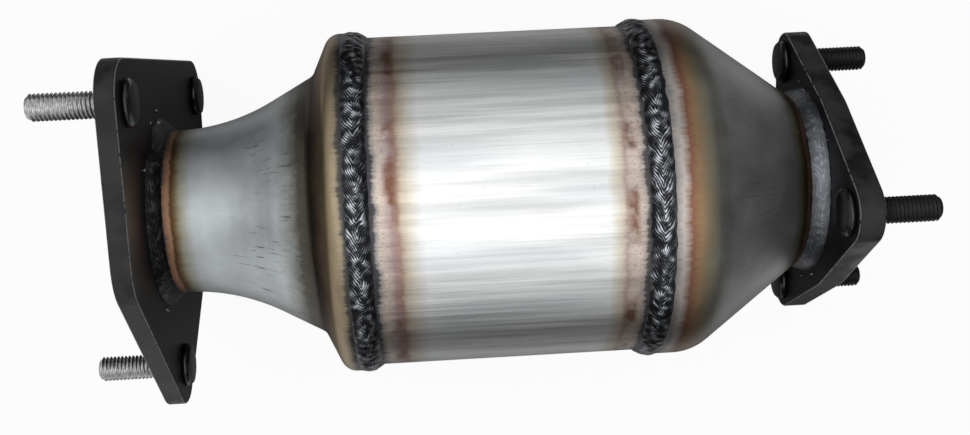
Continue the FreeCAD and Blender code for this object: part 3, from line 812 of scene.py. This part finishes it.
class CONVERTER_OT_spatter(bpy.types.Operator):
    """Scatter small weld balls beside the neck welds"""
    bl_idname = "converter.spatter"
    bl_label = "Weld spatter"
    bl_options = {"REGISTER", "UNDO"}

    def execute(self, context):
        rng = random.Random(SPATTER_SEED)
        steel = bead_finish("spatter skin", SPATTER_SKIN)
        sides = (("inlet_spatter", INLET_PLATE[1], 1), ("outlet_spatter", OUTLET_PLATE[0], -1))
        for name, x, direction in sides:
            bm = bmesh.new()
            for number in range(sizes().spatter_count):
                ball = self.random_ball(rng) if number else FIRST_BALL
                self.add_ball(bm, x, direction, **ball)
            keep(bm, name, "weld", steel)
        return {"FINISHED"}

    @staticmethod
    def random_ball(rng):
        """Turn round the axis, distance from it and radius, drawn in that order."""
        return {"turn": rng.uniform(0, FULL_TURN),
                "distance": rng.uniform(*BALL_DISTANCES) * MM,
                "radius": rng.uniform(*BALL_RADII) * MM}

    @staticmethod
    def add_ball(bm, x, direction, turn, distance, radius):
        """Add one ball, sunk into the plate's face."""
        spot = Matrix.Translation((x + direction * BALL_LIFT * radius,
                                   distance * math.cos(turn), distance * math.sin(turn)))
        bmesh.ops.create_icosphere(bm, subdivisions=2, radius=radius, matrix=spot)


class CONVERTER_OT_seam(bpy.types.Operator):
    """Lay the rippled lengthwise seam under the can"""
    bl_idname = "converter.seam"
    bl_label = "Can seam"
    bl_options = {"REGISTER", "UNDO"}

    def execute(self, context):
        low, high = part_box("can_seam_weld")
        length = high.x - low.x
        columns, rows = SEAM_SIZE
        bm = bmesh.new()
        bmesh.ops.create_grid(bm, x_segments=columns, y_segments=rows, size=0.5)
        ridge = bm.verts.layers.float.new("ridge")
        for vert in bm.verts:
            across = 2 * vert.co.y
            x = low.x + (vert.co.x + 0.5) * length
            y = across * high.y
            saw = saw_wave(x / SEAM_RIPPLE_PITCH + SEAM_SLANT * across * across)
            hold = 1 - across * across
            drop = math.sqrt(CAN_RADIUS ** 2 - y * y)
            rise = hold * (SEAM_CROWN + SEAM_RIPPLE_HEIGHT * saw)
            vert.co = (x, y, -drop - rise + SEAM_SINK)
            # The ripple phase is the ridge value: painted shade in troughs, painted highlights on
            # crests.
            vert[ridge] = saw
        # Its edges go down into the can's wall and close there.
        rim = bmesh.ops.extrude_edge_only(bm, edges=[e for e in bm.edges if e.is_boundary])
        inner = [part for part in rim["geom"] if isinstance(part, bmesh.types.BMVert)]
        bmesh.ops.translate(bm, verts=inner, vec=(0, 0, SEAM_ROOT))
        close_holes(bm)
        piece = keep(bm, "can_seam_bead", "weld", bead_finish("seam skin", SEAM_SHADED_SKIN))
        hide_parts("can_seam_weld")
        return {"FINISHED"}


class CONVERTER_OT_stage(bpy.types.Operator):
    """Set the pale floor, the soft light and the camera"""
    bl_idname = "converter.stage"
    bl_label = "Stage"
    bl_options = {"REGISTER", "UNDO"}

    def execute(self, context):
        self.floor()
        self.world(context.scene)
        self.lamp()
        self.cards()
        self.camera(context.scene)
        context.scene.view_settings.view_transform = "Standard"
        return {"FINISHED"}

    @staticmethod
    def seen(tree):
        """1 for rays that show the background: from the camera or off metal and glass."""
        path = tree.nodes.new("ShaderNodeLightPath")
        found = path.outputs["Is Camera Ray"]
        for ray in ("Is Glossy Ray", "Is Transmission Ray"):
            either = tree.nodes.new("ShaderNodeMath")
            either.operation = "MAXIMUM"
            tree.links.new(found, either.inputs[0])
            tree.links.new(path.outputs[ray], either.inputs[1])
            found = either.outputs[0]
        return found

    @staticmethod
    def sheet(name, material, place, wide, tall, tip=0.0, turn=0.0):
        """Flat rectangle, tipped about X, then turned about Z, with its middle at place."""
        bm = bmesh.new()
        bmesh.ops.create_grid(bm, x_segments=1, y_segments=1, size=0.5)
        bmesh.ops.scale(bm, verts=bm.verts, vec=(wide, tall, 1))
        bmesh.ops.rotate(bm, verts=bm.verts, matrix=Matrix.Rotation(tip, 3, "X"))
        bmesh.ops.rotate(bm, verts=bm.verts, matrix=Matrix.Rotation(turn, 3, "Z"))
        bmesh.ops.translate(bm, verts=bm.verts, vec=place)
        return to_object(bm, name, [material])

    def floor(self):
        """Pale floor that is nearly white behind the object and keeps its shadow."""
        shader = Shader("pale floor")
        tree = shader.tree
        shader.finish(Base_Color=FLOOR_TONE, Roughness=1.0)
        glow = shader.add("ShaderNodeEmission", Strength=1.0)
        share = shader.math("MULTIPLY", self.seen(tree), FLOOR_GLOW)
        mixer = tree.nodes.new("ShaderNodeMixShader")
        tree.links.new(share, mixer.inputs[0])
        tree.links.new(shader.surface.outputs[0], mixer.inputs[1])
        tree.links.new(glow.outputs[0], mixer.inputs[2])
        tree.links.new(mixer.outputs[0], tree.nodes["Material Output"].inputs["Surface"])
        floor = self.sheet("floor", shader.material, (0.13, 0, FLOOR), FLOOR_SIDE, FLOOR_SIDE)

    def world(self, scene):
        """White surroundings that light the object at a lower level."""
        world = bpy.data.worlds.new("studio")
        scene.world = world
        world.use_nodes = True
        tree = world.node_tree
        back = tree.nodes["Background"]
        back.inputs["Color"].default_value = (1, 1, 1, 1)
        strength = tree.nodes.new("ShaderNodeMapRange")
        tree.links.new(self.seen(tree), strength.inputs["Value"])
        strength.inputs["To Min"].default_value = SKY_LIGHT
        strength.inputs["To Max"].default_value = 1.0
        tree.links.new(strength.outputs[0], back.inputs["Strength"])

    @staticmethod
    def lamp():
        """One large soft lamp above the object."""
        data = bpy.data.lights.new("key", "AREA")
        data.shape = "RECTANGLE"
        data.size, data.size_y = LAMP_SIZE
        data.energy = LAMP_POWER
        lamp = bpy.data.objects.new("key", data)
        lamp.location = LAMP_PLACE
        lamp.rotation_mode = "QUATERNION"
        towards = Vector(LAMP_TARGET) - lamp.location
        lamp.rotation_quaternion = towards.to_track_quat("-Z", "Y")
        bpy.context.scene.collection.objects.link(lamp)

    def cards(self):
        """Grey cards round and under the object, seen only by reflections; the one under it is a
        painted shadow.
        """
        shader = Shader("dark card")
        shader.finish(Base_Color=CARD_TONE, Roughness=1.0, Specular_IOR_Level=0.0)
        upright = QUARTER_TURN
        cards = (
            ("card_far", (0.13, 0.17, FLOOR + 0.08), 1.0, 0.16, upright, 0.0),
            ("card_near", (0.34, -0.17, FLOOR + 0.08), 0.56, 0.16, upright, 0.0),
            ("card_outlet", (0.44, 0.0, FLOOR + 0.16), 0.34, 0.32, upright, QUARTER_TURN),
            # Dark card under the object, in the reflections in place of its shadow on the floor:
            # a painted shadow.
            ("card_under_shadow", (0.13, 0.0, FLOOR + 0.002), 0.38, 0.26, 0.0, 0.0),
        )
        for name, place, wide, tall, tip, turn in cards:
            card = self.sheet(name, shader.material, place, wide, tall, tip, turn)
            card.visible_camera = False
            card.visible_diffuse = False
            card.visible_shadow = False

    @staticmethod
    def camera(scene):
        """Camera over the object, tipped and turned a little."""
        data = bpy.data.cameras.new("camera")
        data.sensor_width = SENSOR_WIDTH
        data.lens = LENS
        camera = bpy.data.objects.new("camera", data)
        stand = Matrix.Translation(CAMERA_PLACE)
        for axis, angle in CAMERA_TURNS:
            stand = stand @ Matrix.Rotation(angle, 4, axis)
        camera.matrix_world = stand
        scene.collection.objects.link(camera)
        scene.camera = camera


OPERATORS = (CONVERTER_OT_stage, CONVERTER_OT_can, CONVERTER_OT_cones,
             CONVERTER_OT_collar_welds, CONVERTER_OT_neck_welds, CONVERTER_OT_seam,
             CONVERTER_OT_flanges, CONVERTER_OT_studs, CONVERTER_OT_spatter)


class CONVERTER_PT_panel(bpy.types.Panel):
    """Sizes, finishes and build steps of the converter"""
    bl_idname = "CONVERTER_PT_panel"
    bl_label = "Catalytic converter"
    bl_space_type = "VIEW_3D"
    bl_region_type = "UI"
    bl_category = "Converter"

    def draw(self, context):
        for group in (context.scene.converter_sizes, context.scene.converter_finishes):
            for key in group.__annotations__:
                self.layout.prop(group, key)
        for operator in OPERATORS:
            self.layout.operator(operator.bl_idname)


CLASSES = (ConverterSizes, ConverterFinishes, *OPERATORS, CONVERTER_PT_panel)


def register():
    """Make the classes and the scene's settings known."""
    for cls in CLASSES:
        bpy.utils.register_class(cls)
    bpy.types.Scene.converter_sizes = bpy.props.PointerProperty(type=ConverterSizes)
    bpy.types.Scene.converter_finishes = bpy.props.PointerProperty(type=ConverterFinishes)


def unregister():
    """Take them away again."""
    del bpy.types.Scene.converter_finishes
    del bpy.types.Scene.converter_sizes
    for cls in reversed(CLASSES):
        bpy.utils.unregister_class(cls)


def main():
    """Build everything."""
    register()
    bpy.ops.converter.stage()
    bpy.ops.converter.can()
    bpy.ops.converter.cones()
    bpy.ops.converter.collar_welds()
    bpy.ops.converter.neck_welds()
    bpy.ops.converter.seam()
    bpy.ops.converter.flanges()
    bpy.ops.converter.studs()
    bpy.ops.converter.spatter()


if __name__ == "__main__":
    main()
